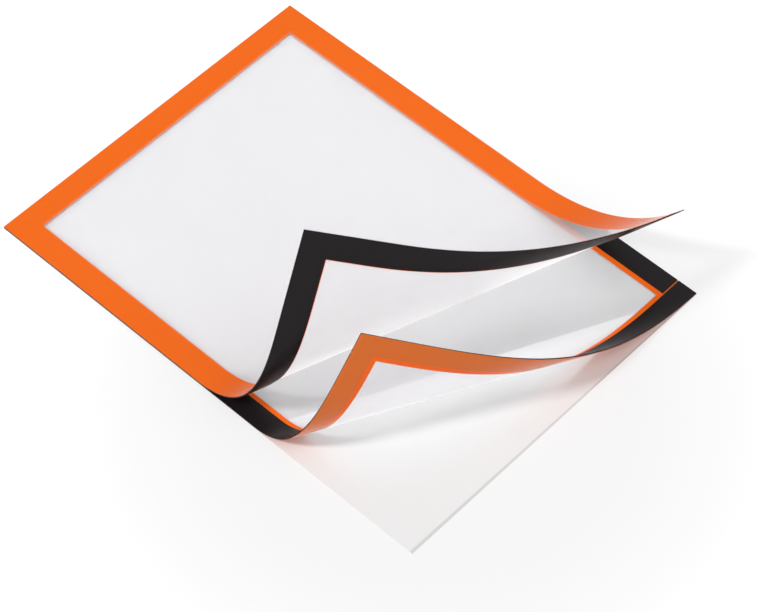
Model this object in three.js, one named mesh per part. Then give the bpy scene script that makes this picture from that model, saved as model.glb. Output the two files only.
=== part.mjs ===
// Self-adhesive info frame: two clear sheets with coloured borders and magnet strips, lying on
// the release liner of the rear one. Their lower left corners are lifted and curl back.
// Millimetres, +Z up. The origin is the middle of the liner's underside, +Y runs up the frame.

import * as THREE from 'three';

// Outline that the liner and both sheets share
const FRAME_WIDTH = 236;
const FRAME_LENGTH = 323;

// Border and magnet strips, measured in from the outer edge
const BORDER_WIDTH = 16;
const MAGNET_WIDTH = 13;
const STRIP_JOINT = 1; // left open between the ends of two strips

// Thicknesses
const LINER_THICKNESS = 0.2;
const FILM_THICKNESS = 0.25;
const BORDER_THICKNESS = 0.15;
const MAGNET_THICKNESS = 0.4;
const GLUE_THICKNESS = 0.1; // bonds film, border and magnets, not modelled itself

// Curl of each sheet. Its first and last bend lines leave the left edge at a height above the
// lower corner and fall to the right at a slope. Angles are in degrees.
const FRONT_START_HEIGHT = 162.5;
const FRONT_START_SLOPE = 10.3;
const FRONT_END_HEIGHT = 64;
const FRONT_END_SLOPE = 51.3;
const FRONT_TURN = 115;
const REAR_START_HEIGHT = 117.5;
const REAR_START_SLOPE = 26.3;
const REAR_END_HEIGHT = 23;
const REAR_END_SLOPE = 39.2;
const REAR_TURN = 102.5;

// How quickly the bend fades towards the corner: 0 keeps it even, 1 fades it in a straight ramp
const FRONT_FADE = 0.28;
const REAR_FADE = 1.3;
const BEND_LINES = 24;

const LEFT = -FRAME_WIDTH / 2;
const RIGHT = FRAME_WIDTH / 2;
const BOTTOM = -FRAME_LENGTH / 2;
const TOP = FRAME_LENGTH / 2;
const UP = new THREE.Vector3(0, 0, 1);

// Materials

function plastic(colour, roughness, opacity = 1) {
  return new THREE.MeshStandardMaterial({
    color: colour, roughness, metalness: 0, opacity, transparent: opacity < 1,
  });
}

const linerMaterial = () => plastic(0xedeeee, 0.25, 0.8);
const filmMaterial = () => plastic(0xeaeaef, 0.12, 0.3);
const borderMaterial = () => plastic(0xf46a1e, 0.35);
const magnetMaterial = () => plastic(0x262123, 0.6);

// Bend lines

function bendLines({ startHeight, startSlope, endHeight, endSlope, turn, fade }) {
  const lines = [];
  let weights = 0;
  for (let i = 0; i < BEND_LINES; i += 1) {
    const along = (i + 0.5) / BEND_LINES;
    const slope = THREE.MathUtils.degToRad(THREE.MathUtils.lerp(startSlope, endSlope, along));
    const height = THREE.MathUtils.lerp(startHeight, endHeight, along);
    const weight = (1 - along) ** fade;
    weights += weight;
    lines.push({
      foot: new THREE.Vector3(LEFT, BOTTOM + height, 0),
      across: new THREE.Vector3(-Math.sin(slope), -Math.cos(slope), 0),
      axis: new THREE.Vector3(-Math.cos(slope), Math.sin(slope), 0),
      weight,
    });
  }
  const total = THREE.MathUtils.degToRad(turn);
  lines.forEach((line) => { line.angle = total * line.weight / weights; });
  return lines;
}

// How far a flat point lies past a bend line, towards the lifted corner
const past = (line, point) => line.across.dot(point.clone().sub(line.foot));

function turnAbout(line) {
  const { x, y, z } = line.foot;
  return new THREE.Matrix4().makeTranslation(x, y, z)
    .multiply(new THREE.Matrix4().makeRotationAxis(line.axis, line.angle))
    .multiply(new THREE.Matrix4().makeTranslation(-x, -y, -z));
}

// A curl carries each strip between two bend lines as a rigid flat piece: places[k] moves the
// strip past line k - 1, and normals[k] is the direction in which it then faces.
function makeCurl(shape) {
  const lines = bendLines(shape);
  const places = [new THREE.Matrix4()];
  for (const line of lines) {
    places.push(places[places.length - 1].clone().multiply(turnAbout(line)));
  }
  const normals = places.map((place) => UP.clone().transformDirection(place));
  return { lines, places, normals };
}

const FRONT_CURL = makeCurl({
  startHeight: FRONT_START_HEIGHT,
  startSlope: FRONT_START_SLOPE,
  endHeight: FRONT_END_HEIGHT,
  endSlope: FRONT_END_SLOPE,
  turn: FRONT_TURN,
  fade: FRONT_FADE,
});

const REAR_CURL = makeCurl({
  startHeight: REAR_START_HEIGHT,
  startSlope: REAR_START_SLOPE,
  endHeight: REAR_END_HEIGHT,
  endSlope: REAR_END_SLOPE,
  turn: REAR_TURN,
  fade: REAR_FADE,
});

// Flat cells, cut along the bend lines

function rectangle(x0, y0, x1, y1) {
  return [[x0, y0], [x1, y0], [x1, y1], [x0, y1]].map(([x, y]) => new THREE.Vector3(x, y, 0));
}

// The part of a convex cell on one side of a line: side 1 is past it, side -1 is before it
function clip(cell, line, side) {
  const kept = [];
  cell.forEach((point, i) => {
    const next = cell[(i + 1) % cell.length];
    const here = side * past(line, point);
    const there = side * past(line, next);
    if (here >= 0) kept.push(point);
    if (here * there < 0) kept.push(point.clone().lerp(next, here / (here - there)));
  });
  return kept;
}

// Every cell becomes pieces that each lie in one strip of the curl
function stripPieces(cells, curl) {
  const pieces = [];
  for (const cell of cells) {
    let rest = cell;
    curl.lines.forEach((line, strip) => {
      const before = clip(rest, line, -1);
      if (before.length > 2) pieces.push({ strip, outline: before });
      rest = clip(rest, line, 1);
    });
    if (rest.length > 2) pieces.push({ strip: curl.lines.length, outline: rest });
  }
  return pieces;
}

// A layer of the curled sheet

const SAME_POINT = 1e-6;

// The strip across the bend line that a point lies on, or its own strip
function neighbour(curl, strip, point) {
  const isOn = (line) => line !== undefined && Math.abs(past(line, point)) < SAME_POINT;
  if (isOn(curl.lines[strip - 1])) return strip - 1;
  if (isOn(curl.lines[strip])) return strip + 1;
  return strip;
}

// Where a flat point lands at a height above the sheet's underside. On a bend line the two
// strips' surfaces meet in a mitre, so layers stay parallel and keep their thickness.
function landed(curl, strip, point, height) {
  const here = curl.normals[strip];
  const there = curl.normals[neighbour(curl, strip, point)];
  const offset = here.clone().add(there).divideScalar(1 + here.dot(there));
  return point.clone().applyMatrix4(curl.places[strip]).addScaledVector(offset, height);
}

function curledLayer(cells, curl, bottom, thickness) {
  const positions = [];
  const indices = [];
  const numbers = new Map();
  const edges = new Map();

  // Each flat point gets a lower and an upper vertex, shared by the pieces that meet there
  const vertex = (strip, point) => {
    const key = `${Math.round(point.x / SAME_POINT)},${Math.round(point.y / SAME_POINT)}`;
    if (!numbers.has(key)) {
      numbers.set(key, positions.length / 3);
      positions.push(...landed(curl, strip, point, bottom).toArray());
      positions.push(...landed(curl, strip, point, bottom + thickness).toArray());
    }
    return numbers.get(key);
  };

  for (const { strip, outline } of stripPieces(cells, curl)) {
    const ring = outline.map((point) => vertex(strip, point))
      .filter((number, i, all) => number !== all[(i + 1) % all.length]);
    if (ring.length < 3) continue;
    for (let i = 1; i < ring.length - 1; i += 1) {
      indices.push(ring[0], ring[i + 1], ring[i]);
      indices.push(ring[0] + 1, ring[i] + 1, ring[i + 1] + 1);
    }
    ring.forEach((from, i) => edges.set(`${from},${ring[(i + 1) % ring.length]}`, true));
  }

  // An edge that no neighbour shares is on the outline and gets a wall
  for (const key of edges.keys()) {
    const [from, to] = key.split(',').map(Number);
    if (!edges.has(`${to},${from}`)) {
      indices.push(from, to, to + 1);
      indices.push(from, to + 1, from + 1);
    }
  }

  const geometry = new THREE.BufferGeometry();
  geometry.setAttribute('position', new THREE.Float32BufferAttribute(positions, 3));
  geometry.setIndex(indices);
  geometry.computeVertexNormals();
  return geometry;
}

// Outlines in the flat

const filmCells = () => [rectangle(LEFT, BOTTOM, RIGHT, TOP)];

// The border as the eight cells around its window
function borderCells() {
  const columns = [LEFT, LEFT + BORDER_WIDTH, RIGHT - BORDER_WIDTH, RIGHT];
  const rows = [BOTTOM, BOTTOM + BORDER_WIDTH, TOP - BORDER_WIDTH, TOP];
  const cells = [];
  for (let column = 0; column < 3; column += 1) {
    for (let row = 0; row < 3; row += 1) {
      const isWindow = column === 1 && row === 1;
      if (!isWindow) {
        cells.push(rectangle(columns[column], rows[row], columns[column + 1], rows[row + 1]));
      }
    }
  }
  return cells;
}

// The top and bottom strips run the full width, and the side strips fit between them
function magnetCells() {
  const sideEnd = MAGNET_WIDTH + STRIP_JOINT;
  return {
    top: [rectangle(LEFT, TOP - MAGNET_WIDTH, RIGHT, TOP)],
    right: [rectangle(RIGHT - MAGNET_WIDTH, BOTTOM + sideEnd, RIGHT, TOP - sideEnd)],
    bottom: [rectangle(LEFT, BOTTOM, RIGHT, BOTTOM + MAGNET_WIDTH)],
    left: [rectangle(LEFT, BOTTOM + sideEnd, LEFT + MAGNET_WIDTH, TOP - sideEnd)],
  };
}

// Sheets

function named(name, geometry, material) {
  const mesh = new THREE.Mesh(geometry, material);
  mesh.name = name;
  return mesh;
}

function releaseLiner() {
  const geometry = new THREE.BoxGeometry(FRAME_WIDTH, FRAME_LENGTH, LINER_THICKNESS);
  const mesh = named('release_liner', geometry, linerMaterial());
  mesh.position.z = LINER_THICKNESS / 2;
  return mesh;
}

// A sheet is film, border and magnets in the given order from its underside up
function sheet(prefix, curl, underside, order) {
  const group = new THREE.Group();
  group.position.z = underside;
  let bottom = 0;
  const add = (name, cells, thickness, material) => {
    group.add(named(`${prefix}_${name}`, curledLayer(cells, curl, bottom, thickness), material));
  };
  for (const layer of order) {
    if (layer === 'film') {
      add('film', filmCells(), FILM_THICKNESS, filmMaterial());
      bottom += FILM_THICKNESS;
    } else if (layer === 'border') {
      add('border', borderCells(), BORDER_THICKNESS, borderMaterial());
      bottom += BORDER_THICKNESS;
    } else {
      for (const [side, cells] of Object.entries(magnetCells())) {
        add(`magnet_${side}`, cells, MAGNET_THICKNESS, magnetMaterial());
      }
      bottom += MAGNET_THICKNESS;
    }
    bottom += GLUE_THICKNESS;
  }
  return group;
}

// The two sheets meet magnet to magnet where they lie flat
const SHEET_THICKNESS = FILM_THICKNESS + BORDER_THICKNESS + MAGNET_THICKNESS + 2 * GLUE_THICKNESS;

const frame = new THREE.Group();
frame.add(
  releaseLiner(),
  sheet('rear', REAR_CURL, LINER_THICKNESS, ['film', 'border', 'magnets']),
  sheet('front', FRONT_CURL, LINER_THICKNESS + SHEET_THICKNESS, ['magnets', 'border', 'film']),
);

export default frame;
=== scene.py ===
"""Self-adhesive info frame on its release liner, with the lower left corners of its sheets lifted."""
import math

import bpy
from mathutils import Matrix, Vector


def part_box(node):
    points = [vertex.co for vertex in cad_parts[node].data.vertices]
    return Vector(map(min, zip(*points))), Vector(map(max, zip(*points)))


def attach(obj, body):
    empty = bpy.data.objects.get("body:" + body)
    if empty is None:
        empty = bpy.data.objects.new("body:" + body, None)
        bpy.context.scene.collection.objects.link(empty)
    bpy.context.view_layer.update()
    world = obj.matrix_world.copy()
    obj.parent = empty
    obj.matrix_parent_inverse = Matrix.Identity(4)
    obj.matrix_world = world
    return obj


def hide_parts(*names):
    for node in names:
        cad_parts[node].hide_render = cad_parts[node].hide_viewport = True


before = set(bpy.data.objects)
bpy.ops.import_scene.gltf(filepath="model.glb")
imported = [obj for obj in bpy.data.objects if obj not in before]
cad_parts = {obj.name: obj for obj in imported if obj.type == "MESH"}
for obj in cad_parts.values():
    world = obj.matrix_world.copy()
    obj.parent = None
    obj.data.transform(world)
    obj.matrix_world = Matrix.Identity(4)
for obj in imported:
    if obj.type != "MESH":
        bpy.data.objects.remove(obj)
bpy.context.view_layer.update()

MM = 0.001

# Sizes in the flat, in metres
liner_low, liner_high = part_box("release_liner")
LEFT, RIGHT = liner_low[0], liner_high[0]
BOTTOM, TOP = liner_low[1], liner_high[1]
BORDER_WIDTH = 16 * MM
MAGNET_WIDTH = 13 * MM
REAR_JOINT = 1 * MM  # between the ends of two strips
FRONT_JOINT = 0.05 * MM
BACKING_INSET = 0.3 * MM  # the black backing stops short of the front border's inner edge

# Heights in a sheet, from its own underside up
FILM = 0.25 * MM
BORDER = 0.15 * MM
MAGNET = 0.4 * MM
GLUE = 0.1 * MM
REAR_UNDERSIDE = liner_high[2]
FRONT_UNDERSIDE = REAR_UNDERSIDE + FILM + BORDER + MAGNET + 2 * GLUE

# Curl of each sheet: its first and last bend lines leave the left edge at a height above the
# lower corner and fall to the right at a slope, and the bend fades towards the corner. Slopes
# and turns are in degrees.
FRONT_BEND = dict(start=162.5 * MM, start_slope=10.3, end=64 * MM, end_slope=51.3, turn=115, fade=0.28)
REAR_BEND = dict(start=117.5 * MM, start_slope=26.3, end=23 * MM, end_slope=39.2, turn=102.5, fade=1.3)
BEND_LINES = 96
SAME_POINT = 1e-9  # flat points closer than this are one
SHARP_ANGLE = 30.0  # in degrees, from which an edge stays sharp
NOISE_DETAIL = 3.0

# Painted shadow: a grey band along the liner's lower edge, which narrows to the right
EDGE_SHADOW_BAND = 1.2 * MM
EDGE_SHADOW_BLUR = 0.3 * MM
EDGE_SHADOW_TAPER = 0.006

# Camera, as it stands in the photograph
AZIMUTH, ELEVATION, ROLL = -45.9, 53.3, -0.9
CAMERA_TARGET = Vector((-9.8, -37.8, 1.2)) * MM
CAMERA_DISTANCE = 1640 * MM
SENSOR_WIDTH = 36.0
LENS = 136.3
CLIP_START, CLIP_END = 0.01, 50

# Light
KEY_DIRECTION = Vector((-0.60, 0.34, 0.72))
KEY_STRENGTH = 1.85
KEY_ANGLE = 10.0
FILL_DIRECTION = Vector((0.15, -0.60, 0.78))
FILL_STRENGTH = 1.3
FILL_ANGLE = 60.0
HORIZON_STRENGTH = 0.25  # of the sky, which fades from the zenith down to this
ZENITH_STRENGTH = 0.40
FILM_BOUNCES = 8  # light goes back and forth between the matt films
FILM_CROSSINGS = 32  # see-through faces that one ray may pass

# Colours. Where a piece has two, its colour drifts between them.
WHITE = (1, 1, 1, 1)
NO_LIGHT = (0, 0, 0, 1)
ORANGE = (0.845, 0.145, 0.009, 1)
ORANGE_DEEP = (0.82, 0.135, 0.008, 1)
ORANGE_PALE = (0.76, 0.168, 0.026, 1)
ORANGE_DULL = (0.73, 0.155, 0.022, 1)
BLACK = (0.0125, 0.0090, 0.0100, 1)
BLACK_DEEP = (0.0095, 0.0070, 0.0080, 1)
FILM_TINT = (0.992, 0.988, 1, 1)
FILM_TINT_DEEP = (0.986, 0.981, 0.995, 1)
FILM_SEEN_THROUGH = (0.998, 0.996, 1, 1)
GLUED_TINT = (0.99, 0.99, 0.99, 1)
LINER_MILKY = (0.755, 0.76, 0.76, 1)
LINER_MILKY_DEEP = (0.74, 0.745, 0.745, 1)
# painted shadow along the liner's lower edge
LINER_EDGE_SHADOW = (0.60, 0.60, 0.60, 1)

# Heights of the grain in the surfaces
GRAIN = 0.02 * MM
MAGNET_GRAIN = 0.04 * MM
LINER_RIPPLE = 0.2 * MM

# Floor: it lights the object as a pale matt one does, and is seen as white, with painted shade
# that makes it a little darker near the object
FLOOR_LIT = (0.85, 0.85, 0.85, 1)
FLOOR_SHADED = (0.28, 0.28, 0.28, 1)
PAINTED_SHADE_CENTRE = (-40 * MM, -100 * MM, 0)
PAINTED_SHADE_NEAR, PAINTED_SHADE_FAR = 100 * MM, 320 * MM
GLOW_IN_PAINTED_SHADE, GLOW_PAST_PAINTED_SHADE = 0.62, 0.84
FLOOR_HALF = 3000 * MM
FLOOR_DROP = 0.05 * MM


# Camera and light

def make_camera():
    azimuth, elevation = math.radians(AZIMUTH), math.radians(ELEVATION)
    right = Vector((math.cos(azimuth), math.sin(azimuth), 0))
    back = Vector((
        math.sin(azimuth) * math.cos(elevation),
        -math.cos(azimuth) * math.cos(elevation),
        math.sin(elevation),
    ))
    upright = Matrix((right, back.cross(right), back)).transposed()
    turned = upright @ Matrix.Rotation(math.radians(ROLL), 3, "Z")
    data = bpy.data.cameras.new("camera")
    data.sensor_width = SENSOR_WIDTH
    data.lens = LENS
    data.clip_start = CLIP_START
    data.clip_end = CLIP_END
    camera = bpy.data.objects.new("camera", data)
    camera.matrix_world = Matrix.Translation(CAMERA_TARGET + back * CAMERA_DISTANCE) @ turned.to_4x4()
    bpy.context.scene.collection.objects.link(camera)
    bpy.context.scene.camera = camera


def make_light(name, direction, strength, angle):
    """A distant lamp. Its angle, in degrees, is how wide it looks from the object."""
    data = bpy.data.lights.new(name, "SUN")
    data.energy = strength
    data.angle = math.radians(angle)
    light = bpy.data.objects.new(name, data)
    light.rotation_mode = "QUATERNION"
    light.rotation_quaternion = direction.to_track_quat("Z", "Y")
    bpy.context.scene.collection.objects.link(light)


# Node materials

class Nodes:
    """A node tree that is filled by short calls."""

    def __init__(self, tree):
        self.tree = tree
        tree.nodes.clear()

    def add(self, kind, inputs=None, **settings):
        """Adds a node. Each input is a value or the socket of another node."""
        node = self.tree.nodes.new(kind)
        for name, value in settings.items():
            setattr(node, name, value)
        for name, value in (inputs or {}).items():
            socket = node.inputs[name]
            if isinstance(value, bpy.types.NodeSocket):
                self.tree.links.new(value, socket)
            else:
                socket.default_value = value
        return node

    def place(self):
        return self.add("ShaderNodeTexCoord").outputs["Object"]

    def noise(self, waves):
        """Noise with about so many waves a metre, from 0 to 1."""
        inputs = {"Vector": self.place(), "Scale": waves, "Detail": NOISE_DETAIL}
        return self.add("ShaderNodeTexNoise", inputs).outputs["Fac"]

    def span(self, value, low, high):
        """A 0 to 1 value spread from low to high."""
        node = self.add("ShaderNodeMapRange", {"Value": value, "To Min": low, "To Max": high})
        return node.outputs["Result"]

    def blend(self, value, first, second):
        node = self.add("ShaderNodeMix", {0: value, 6: first, 7: second}, data_type="RGBA")
        return node.outputs[2]

    def bump(self, pattern, height, strength):
        inputs = {"Height": pattern, "Distance": height, "Strength": strength}
        return self.add("ShaderNodeBump", inputs).outputs["Normal"]

    def mix(self, share, first, second):
        return self.add("ShaderNodeMixShader", {0: share, 1: first, 2: second}).outputs[0]

    def grazing(self, head_on, power, edge_on):
        """A share that rises from head on to edge on, the same from either side of a thin sheet."""
        facing = self.add("ShaderNodeLayerWeight", {"Blend": 0.5}).outputs["Facing"]
        steep = self.add("ShaderNodeMath", {0: facing, 1: power}, operation="POWER").outputs[0]
        return self.span(steep, head_on, edge_on)

    def finish(self, shader):
        self.add("ShaderNodeOutputMaterial", {"Surface": shader})


def new_material(name):
    material = bpy.data.materials.new(name)
    material.use_nodes = True
    return material, Nodes(material.node_tree)


def foil_surface(nodes, tone, roughness, specular, grain=GRAIN):
    """The surface of a plastic foil, with a faint grain and uneven gloss."""
    return nodes.add("ShaderNodeBsdfPrincipled", {
        "Base Color": tone,
        "Roughness": nodes.span(nodes.noise(waves=900), roughness - 0.04, roughness + 0.05),
        "Specular IOR Level": specular,
        "Normal": nodes.bump(nodes.noise(waves=2600), grain, strength=0.25),
    }).outputs[0]


def foil_material(name, colour, deeper, roughness, specular, grain=GRAIN):
    """Printed or dyed foil whose colour drifts slowly from place to place."""
    material, nodes = new_material(name)
    tone = nodes.blend(nodes.noise(waves=14), colour, deeper)
    nodes.finish(foil_surface(nodes, tone, roughness, specular, grain))
    return material


def translucent_foil(name, colour, deeper, roughness, specular, through):
    """Dyed foil that lets part of the light through to its other side."""
    material, nodes = new_material(name)
    tone = nodes.blend(nodes.noise(waves=14), colour, deeper)
    surface = foil_surface(nodes, tone, roughness, specular)
    dimmed = nodes.blend(through, NO_LIGHT, tone)
    glow = nodes.add("ShaderNodeBsdfTranslucent", {"Color": dimmed}).outputs[0]
    nodes.finish(nodes.add("ShaderNodeAddShader", {0: surface, 1: glow}).outputs[0])
    return material


def film_gloss(nodes, low, high, grain_waves, grain_strength):
    """A satin mirror whose roughness lies between two values."""
    return nodes.add("ShaderNodeBsdfGlossy", {
        "Color": WHITE,
        "Roughness": nodes.span(nodes.noise(waves=700), low, high),
        "Normal": nodes.bump(nodes.noise(grain_waves), GRAIN, grain_strength),
    }).outputs[0]


def frosted_film():
    """The matt face of the film: it scatters part of the light that passes it, mostly onwards."""
    material, nodes = new_material("film_matt")
    tint = nodes.blend(nodes.noise(waves=9), FILM_TINT, FILM_TINT_DEEP)
    diffuse = nodes.add("ShaderNodeBsdfDiffuse", {"Color": tint}).outputs[0]
    through = nodes.add("ShaderNodeBsdfTranslucent", {"Color": tint}).outputs[0]
    clear = nodes.add("ShaderNodeBsdfTransparent", {"Color": FILM_SEEN_THROUGH}).outputs[0]
    onwards = 0.78
    scatter = nodes.mix(onwards, diffuse, through)
    body = nodes.mix(nodes.grazing(head_on=0.36, power=2.0, edge_on=1.0), clear, scatter)
    gloss = film_gloss(nodes, low=0.34, high=0.42, grain_waves=2200, grain_strength=0.2)
    nodes.finish(nodes.mix(nodes.grazing(head_on=0.01, power=6.0, edge_on=0.12), body, gloss))
    return material


def clear_face(name, edge_on):
    """A clear satin face of the film, which mirrors a share of the light edge on."""
    material, nodes = new_material(name)
    clear = nodes.add("ShaderNodeBsdfTransparent", {"Color": WHITE}).outputs[0]
    gloss = film_gloss(nodes, low=0.26, high=0.34, grain_waves=1800, grain_strength=0.3)
    nodes.finish(nodes.mix(nodes.grazing(head_on=0.01, power=5.5, edge_on=edge_on), clear, gloss))
    return material


def bonded_side():
    """The face of the film that is glued down, which reflects nothing."""
    material, nodes = new_material("film_glued_side")
    tint = nodes.blend(nodes.noise(waves=30), WHITE, GLUED_TINT)
    nodes.finish(nodes.add("ShaderNodeBsdfTransparent", {"Color": tint}).outputs[0])
    return material


def liner_material():
    """Milky release film with a glossy face, and a grey band of painted shadow along its lower edge."""
    material, nodes = new_material("liner")
    milky = nodes.blend(nodes.noise(waves=7), LINER_MILKY, LINER_MILKY_DEEP)
    # Painted shadow: the base colour turns grey in a band along the lower edge
    height = nodes.add("ShaderNodeVectorMath", {
        0: nodes.place(), 1: (EDGE_SHADOW_TAPER, 1, 0),
    }, operation="DOT_PRODUCT").outputs["Value"]
    above_edge_shadow = nodes.add("ShaderNodeMapRange", {
        "Value": height,
        "From Min": BOTTOM + EDGE_SHADOW_BAND - EDGE_SHADOW_BLUR,
        "From Max": BOTTOM + EDGE_SHADOW_BAND + EDGE_SHADOW_BLUR,
    }).outputs["Result"]
    shader = nodes.add("ShaderNodeBsdfPrincipled", {
        "Base Color": nodes.blend(above_edge_shadow, LINER_EDGE_SHADOW, milky),
        "Roughness": nodes.span(nodes.noise(waves=60), 0.18, 0.25),
        "Specular IOR Level": 0.35,
        "Normal": nodes.bump(nodes.noise(waves=24), LINER_RIPPLE, strength=0.3),
    })
    nodes.finish(shader.outputs[0])
    return material


# Curled sheets

class Curl:
    """A flat sheet bent about straight lines, each strip between two lines staying flat."""

    def __init__(self, start, start_slope, end, end_slope, turn, fade):
        along = [(i + 0.5) / BEND_LINES for i in range(BEND_LINES)]
        weights = [(1 - t) ** fade for t in along]
        self.lines = []
        self.places = [Matrix.Identity(4)]
        for t, weight in zip(along, weights):
            slope = math.radians(start_slope + (end_slope - start_slope) * t)
            foot = Vector((LEFT, BOTTOM + start + (end - start) * t, 0))
            axis = Vector((-math.cos(slope), math.sin(slope), 0))
            self.lines.append((foot, Vector((-math.sin(slope), -math.cos(slope), 0))))
            bend = Matrix.Rotation(math.radians(turn) * weight / sum(weights), 4, axis)
            turned = Matrix.Translation(foot) @ bend @ Matrix.Translation(-foot)
            self.places.append(self.places[-1] @ turned)
        self.normals = [place.to_3x3() @ Vector((0, 0, 1)) for place in self.places]

    def past(self, line, point):
        """How far a flat point lies past a bend line, towards the lifted corner."""
        foot, across = self.lines[line]
        return across.dot(point - foot)

    def landed(self, strip, point, height):
        """Where a flat point lands, mitred where two strips meet."""
        here = self.normals[strip]
        there = self.normals[self.neighbour(strip, point)]
        return self.places[strip] @ point + (here + there) * (height / (1 + here.dot(there)))

    def neighbour(self, strip, point):
        if strip > 0 and abs(self.past(strip - 1, point)) < SAME_POINT:
            return strip - 1
        if strip < BEND_LINES and abs(self.past(strip, point)) < SAME_POINT:
            return strip + 1
        return strip


def clipped(curl, cell, line, side):
    """The part of a convex cell on one side of a bend line: side 1 is past it, -1 before it."""
    kept = []
    for i, point in enumerate(cell):
        after = cell[(i + 1) % len(cell)]
        here, there = side * curl.past(line, point), side * curl.past(line, after)
        if here >= 0:
            kept.append(point)
        if here * there < 0:
            kept.append(point.lerp(after, here / (here - there)))
    return kept


def strip_pieces(curl, cell):
    rest = cell
    for line in range(BEND_LINES):
        before = clipped(curl, rest, line, -1)
        if len(before) > 2:
            yield line, before
        rest = clipped(curl, rest, line, 1)
    if len(rest) > 2:
        yield BEND_LINES, rest


def curled_mesh(name, cells, curl, underside, bottom, thickness, materials, paint):
    """A closed layer of a sheet. paint(cell centre, side) gives the material of a face, where
    side is "top", "bottom" or "wall"."""
    lift = Vector((0, 0, underside))
    numbers = {}
    points = []
    faces = []
    face_materials = []
    edges = {}

    def number(strip, point):
        key = (round(point.x / SAME_POINT), round(point.y / SAME_POINT))
        if key not in numbers:
            numbers[key] = len(points)
            points.append(curl.landed(strip, point, bottom) + lift)
            points.append(curl.landed(strip, point, bottom + thickness) + lift)
        return numbers[key]

    for cell in cells:
        centre = sum(cell, Vector()) / len(cell)
        for strip, outline in strip_pieces(curl, cell):
            ring = [number(strip, point) for point in outline]
            ring = [n for i, n in enumerate(ring) if n != ring[(i + 1) % len(ring)]]
            if len(ring) < 3:
                continue
            faces.append([n + 1 for n in ring])
            face_materials.append(paint(centre, "top"))
            faces.append(ring[::-1])
            face_materials.append(paint(centre, "bottom"))
            for i, start in enumerate(ring):
                edges[start, ring[(i + 1) % len(ring)]] = paint(centre, "wall")
    for (start, end), wall_material in edges.items():
        if (end, start) not in edges:
            faces.append([start, end, end + 1, start + 1])
            face_materials.append(wall_material)

    mesh = bpy.data.meshes.new(name)
    mesh.from_pydata(points, [], faces)
    for material in materials:
        mesh.materials.append(material)
    slots = [materials.index(material) for material in face_materials]
    mesh.polygons.foreach_set("material_index", slots)
    mesh.polygons.foreach_set("use_smooth", [True] * len(faces))
    mesh.set_sharp_from_angle(angle=math.radians(SHARP_ANGLE))
    mesh.update()
    piece = bpy.data.objects.new(name, mesh)
    bpy.context.scene.collection.objects.link(piece)
    return piece


# Flat outlines

def rectangle(x0, y0, x1, y1):
    return [Vector((x, y, 0)) for x, y in ((x0, y0), (x1, y0), (x1, y1), (x0, y1))]


def in_window(point):
    return (LEFT + BORDER_WIDTH < point.x < RIGHT - BORDER_WIDTH
            and BOTTOM + BORDER_WIDTH < point.y < TOP - BORDER_WIDTH)


def cells_between(insets):
    """The cells of the grid of lines that run along the outline at these insets from it."""
    columns = [LEFT + i for i in insets] + [RIGHT - i for i in reversed(insets)]
    rows = [BOTTOM + i for i in insets] + [TOP - i for i in reversed(insets)]
    return [
        rectangle(columns[c], rows[r], columns[c + 1], rows[r + 1])
        for c in range(len(columns) - 1)
        for r in range(len(rows) - 1)
    ]


def border_cells(insets):
    return [cell for cell in cells_between(insets) if not in_window(sum(cell, Vector()) / 4)]


def inset_of(point):
    """How far a flat point lies inside the outline."""
    return min(point.x - LEFT, RIGHT - point.x, point.y - BOTTOM, TOP - point.y)


def magnet_outlines(joint):
    side_end = MAGNET_WIDTH + joint
    return {
        "top": rectangle(LEFT, TOP - MAGNET_WIDTH, RIGHT, TOP),
        "right": rectangle(RIGHT - MAGNET_WIDTH, BOTTOM + side_end, RIGHT, TOP - side_end),
        "bottom": rectangle(LEFT, BOTTOM, RIGHT, BOTTOM + MAGNET_WIDTH),
        "left": rectangle(LEFT, BOTTOM + side_end, LEFT + MAGNET_WIDTH, TOP - side_end),
    }


# Materials of the pieces

ORANGE_FOIL = foil_material("border_orange", ORANGE, ORANGE_DEEP, roughness=0.4, specular=0.0)
ORANGE_BACKED = foil_material(
    "border_orange_backed", ORANGE_PALE, ORANGE_DULL, roughness=0.36, specular=0.1,
)
ORANGE_MARGIN = translucent_foil(
    "border_orange_margin", ORANGE, ORANGE_DEEP, roughness=0.36, specular=0.1, through=0.2,
)
BACKING_BLACK = foil_material("border_backing", BLACK_DEEP, BLACK_DEEP, roughness=0.35, specular=0.15)
MAGNET_BLACK = foil_material(
    "magnet_black", BLACK, BLACK_DEEP, roughness=0.36, specular=0.14, grain=MAGNET_GRAIN,
)
FILM_MATT = frosted_film()
FILM_CLEAR = clear_face("film_clear", edge_on=0.12)
FILM_BONDED = clear_face("film_bonded", edge_on=0.9)
FILM_GLUED = bonded_side()


# Pieces

def keep(piece, node):
    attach(piece, "root")
    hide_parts(node)


def make_film(prefix, curl, underside, bottom, glued_side):
    """The film is clear over the border, and in the window its upper face is matt."""
    def paint(centre, side):
        if in_window(centre):
            return FILM_MATT if side == "top" else FILM_CLEAR
        return FILM_GLUED if side == glued_side else FILM_BONDED

    piece = curled_mesh(
        f"{prefix}_film_sheet", cells_between([0, BORDER_WIDTH]), curl, underside, bottom, FILM,
        [FILM_MATT, FILM_CLEAR, FILM_BONDED, FILM_GLUED], paint,
    )
    keep(piece, f"{prefix}_film")


def make_magnets(prefix, curl, underside, bottom, joint):
    for side, outline in magnet_outlines(joint).items():
        piece = curled_mesh(
            f"{prefix}_strip_{side}", [outline], curl, underside, bottom, MAGNET,
            [MAGNET_BLACK], lambda centre, face: MAGNET_BLACK,
        )
        keep(piece, f"{prefix}_magnet_{side}")


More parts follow.
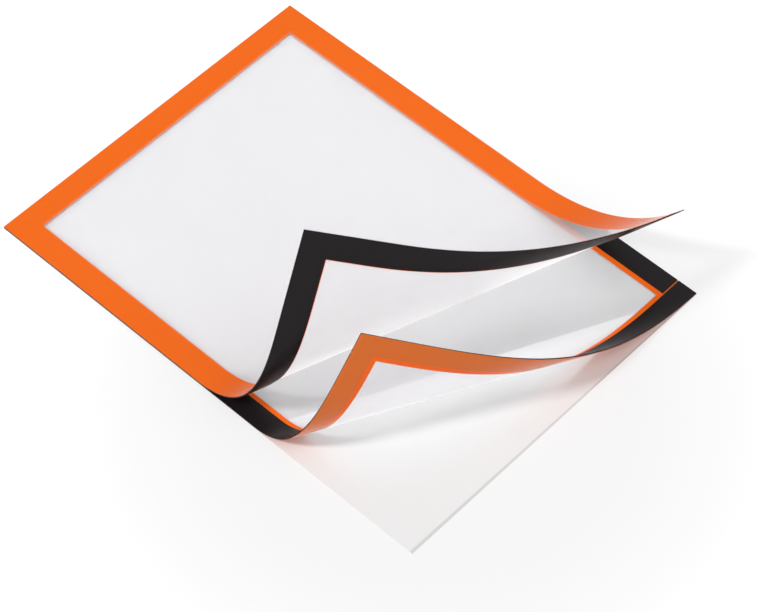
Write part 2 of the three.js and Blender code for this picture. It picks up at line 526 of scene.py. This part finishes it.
def make_rear_border(curl):
    """Orange with a black outer edge. The margin inside the magnet strips lets light through."""
    def paint(centre, side):
        if inset_of(centre) > MAGNET_WIDTH:
            return ORANGE_MARGIN
        return BACKING_BLACK if side == "wall" else ORANGE_BACKED

    piece = curled_mesh(
        "rear_border_foil", border_cells([0, MAGNET_WIDTH, BORDER_WIDTH]), curl, REAR_UNDERSIDE,
        FILM + GLUE, BORDER, [ORANGE_BACKED, ORANGE_MARGIN, BACKING_BLACK], paint,
    )
    keep(piece, "rear_border")


def make_front_border(curl):
    """Orange in front and black behind, with a hair of orange along the backing's inner edge."""
    def paint(centre, side):
        is_backing = side != "top" and inset_of(centre) < BORDER_WIDTH - BACKING_INSET
        return BACKING_BLACK if is_backing else ORANGE_FOIL

    piece = curled_mesh(
        "front_border_foil", border_cells([0, BORDER_WIDTH - BACKING_INSET, BORDER_WIDTH]), curl,
        FRONT_UNDERSIDE, MAGNET + GLUE, BORDER, [ORANGE_FOIL, BACKING_BLACK], paint,
    )
    keep(piece, "front_border")


# Floor and world

def camera_like(nodes):
    """1 for rays from the camera, a mirror or through glass, 0 for rays that carry light."""
    path = nodes.add("ShaderNodeLightPath")
    first = nodes.add("ShaderNodeMath", {
        0: path.outputs["Is Camera Ray"], 1: path.outputs["Is Glossy Ray"],
    }, operation="MAXIMUM").outputs[0]
    return nodes.add("ShaderNodeMath", {
        0: first, 1: path.outputs["Is Transmission Ray"],
    }, operation="MAXIMUM").outputs[0]


def make_world():
    world = bpy.data.worlds.new("studio")
    world.use_nodes = True
    bpy.context.scene.world = world
    nodes = Nodes(world.node_tree)
    direction = nodes.add("ShaderNodeTexCoord").outputs["Generated"]
    height = nodes.add("ShaderNodeSeparateXYZ", {"Vector": direction}).outputs["Z"]
    sky = nodes.span(height, HORIZON_STRENGTH, ZENITH_STRENGTH)
    strength = nodes.add("ShaderNodeMix", {0: camera_like(nodes), 2: sky, 3: 1.0}).outputs[0]
    background = nodes.add("ShaderNodeBackground", {"Color": WHITE, "Strength": strength})
    nodes.add("ShaderNodeOutputWorld", {"Surface": background.outputs[0]})


def make_floor():
    material, nodes = new_material("floor")
    plain = nodes.add("ShaderNodeBsdfDiffuse", {"Color": FLOOR_LIT}).outputs[0]
    shaded = nodes.add("ShaderNodeBsdfDiffuse", {"Color": FLOOR_SHADED}).outputs[0]
    # Painted shade: the floor's glow, as the camera sees it, dims towards the object
    away = nodes.add("ShaderNodeVectorMath", {
        0: nodes.place(), 1: PAINTED_SHADE_CENTRE,
    }, operation="DISTANCE").outputs["Value"]
    strength = nodes.add("ShaderNodeMapRange", {
        "Value": away,
        "From Min": PAINTED_SHADE_NEAR,
        "From Max": PAINTED_SHADE_FAR,
        "To Min": GLOW_IN_PAINTED_SHADE,
        "To Max": GLOW_PAST_PAINTED_SHADE,
    }, interpolation_type="SMOOTHSTEP").outputs["Result"]
    glow = nodes.add("ShaderNodeEmission", {"Color": WHITE, "Strength": strength}).outputs[0]
    seen = nodes.add("ShaderNodeAddShader", {0: shaded, 1: glow}).outputs[0]
    nodes.finish(nodes.mix(camera_like(nodes), plain, seen))
    mesh = bpy.data.meshes.new("floor")
    corners = rectangle(-FLOOR_HALF, -FLOOR_HALF, FLOOR_HALF, FLOOR_HALF)
    mesh.from_pydata(corners, [], [(0, 1, 2, 3)])
    mesh.materials.append(material)
    floor = bpy.data.objects.new("floor", mesh)
    floor.location.z = -FLOOR_DROP
    bpy.context.scene.collection.objects.link(floor)


# The scene

bpy.context.scene.view_settings.view_transform = "Standard"
bpy.context.scene.cycles.diffuse_bounces = FILM_BOUNCES
bpy.context.scene.cycles.transparent_max_bounces = FILM_CROSSINGS
make_camera()
make_light("key_light", KEY_DIRECTION, KEY_STRENGTH, KEY_ANGLE)
make_light("fill_light", FILL_DIRECTION, FILL_STRENGTH, FILL_ANGLE)
make_world()
make_floor()

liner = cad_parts["release_liner"]
liner.data.materials.clear()
liner.data.materials.append(liner_material())

rear = Curl(**REAR_BEND)
make_film("rear", rear, REAR_UNDERSIDE, 0, "top")
make_rear_border(rear)
make_magnets("rear", rear, REAR_UNDERSIDE, FILM + BORDER + 2 * GLUE, REAR_JOINT)

front = Curl(**FRONT_BEND)
make_magnets("front", front, FRONT_UNDERSIDE, 0, FRONT_JOINT)
make_front_border(front)
make_film("front", front, FRONT_UNDERSIDE, MAGNET + BORDER + 2 * GLUE, "bottom")
